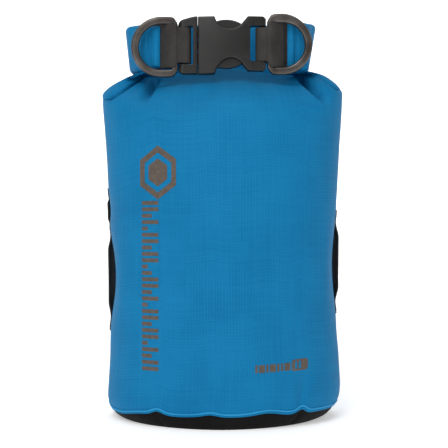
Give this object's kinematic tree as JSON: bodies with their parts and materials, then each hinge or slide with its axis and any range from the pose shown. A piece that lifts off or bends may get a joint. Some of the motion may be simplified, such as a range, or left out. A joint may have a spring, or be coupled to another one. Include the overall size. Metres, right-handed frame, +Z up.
{
  "type": "dry bag",
  "caption": "Small oval roll-top dry bag, closed: coated fabric body on a dark base, mouth rolled and clipped into a carry loop by a side-release buckle between D-rings.",
  "frame": {"origin": "on the ground under the middle of the base, at the bottom centre of the bounding box", "axes": "+Z up, the longest extent; +X to the right of the front view; -Y is the front, where the buckle closes; +Y is the shortest extent"},
  "size_m": [0.1403, 0.1054, 0.2288],
  "materials": {
    "body_fabric": "coated ripstop nylon, blue, low sheen",
    "base_fabric": "heavier coated fabric, near black",
    "seam_tape": "translucent welded seam tape",
    "closure_strip": "stiff rubberised strip in the mouth hem",
    "strap": "rubber-coated webbing, matt, dark grey",
    "thread": "bonded polyester thread",
    "ring_metal": "dark grey satin metal",
    "buckle_plastic": "moulded acetal with a fine spark-eroded texture, dark grey"
  },
  "bodies": {
    "bag": {"body_panel": "body_fabric", "base_panel": "base_fabric", "base_hem": "body_fabric", "base_seam_tape": "seam_tape", "back_seam_tape": "seam_tape", "roll_centre": "body_fabric", "closure_strip_centre": "closure_strip", "lash_strip_left": "strap", "lash_strip_right": "strap", "lash_bartacks_left": "thread", "lash_bartacks_right": "thread"},
    "left_wing": {"roll_left": "body_fabric", "closure_strip_left": "closure_strip", "strap_left": "strap", "strap_bartack_left": "thread"},
    "right_wing": {"roll_right": "body_fabric", "closure_strip_right": "closure_strip", "strap_right": "strap", "strap_bartack_right": "thread"},
    "plug": {"buckle_plug": "buckle_plastic"},
    "prong_upper": {"buckle_prong_upper": "buckle_plastic"},
    "prong_lower": {"buckle_prong_lower": "buckle_plastic"},
    "socket": {"buckle_socket": "buckle_plastic"},
    "ring_left": {"d_ring_left": "ring_metal"},
    "ring_right": {"d_ring_right": "ring_metal"}
  },
  "joints": [
    {"name": "closure_open", "type": "hinge", "parent": "bag", "child": "left_wing", "pos_m": [-0.0285, 0.017, 0.212], "axis": [0, 0, -1], "range_deg": [0, 18], "deforming": ["buckle_prong_upper", "buckle_prong_lower"]},
    {"name": "closure_open_right", "type": "hinge", "parent": "bag", "child": "right_wing", "pos_m": [0.031, 0.017, 0.212], "axis": [0, 0, 1], "range_deg": [0, 18]},
    {"name": "plug_swivel", "type": "hinge", "parent": "left_wing", "child": "plug", "pos_m": [-0.0205, -0.028, 0.212], "axis": [0, 0, 1], "range_deg": [0, 18]},
    {"name": "socket_swivel", "type": "hinge", "parent": "right_wing", "child": "socket", "pos_m": [0.023, -0.028, 0.212], "axis": [0, 0, -1], "range_deg": [0, 18]},
    {"name": "prong_squeeze", "type": "hinge", "parent": "plug", "child": "prong_upper", "pos_m": [-0.011, -0.028, 0.2196], "axis": [0, 1, 0], "range_deg": [0, 9], "stiffness_Nm_per_rad": 0.02},
    {"name": "prong_squeeze_lower", "type": "hinge", "parent": "plug", "child": "prong_lower", "pos_m": [-0.011, -0.028, 0.2044], "axis": [0, 1, 0], "range_deg": [-9, 0], "stiffness_Nm_per_rad": 0.02},
    {"name": "ring_left_swing", "type": "hinge", "parent": "left_wing", "child": "ring_left", "pos_m": [-0.0267, -0.0286, 0.212], "axis": [0, 0, 1], "range_deg": [0, 85]},
    {"name": "ring_right_swing", "type": "hinge", "parent": "right_wing", "child": "ring_right", "pos_m": [0.0269, -0.0286, 0.212], "axis": [0, 0, -1], "range_deg": [0, 85]}
  ],
  "couplings": [
    {"joint": "closure_open_right", "follows": "closure_open", "ratio": 1},
    {"joint": "plug_swivel", "follows": "closure_open", "ratio": 1},
    {"joint": "socket_swivel", "follows": "closure_open", "ratio": 1},
    {"joint": "prong_squeeze_lower", "follows": "prong_squeeze", "ratio": -1}
  ]
}
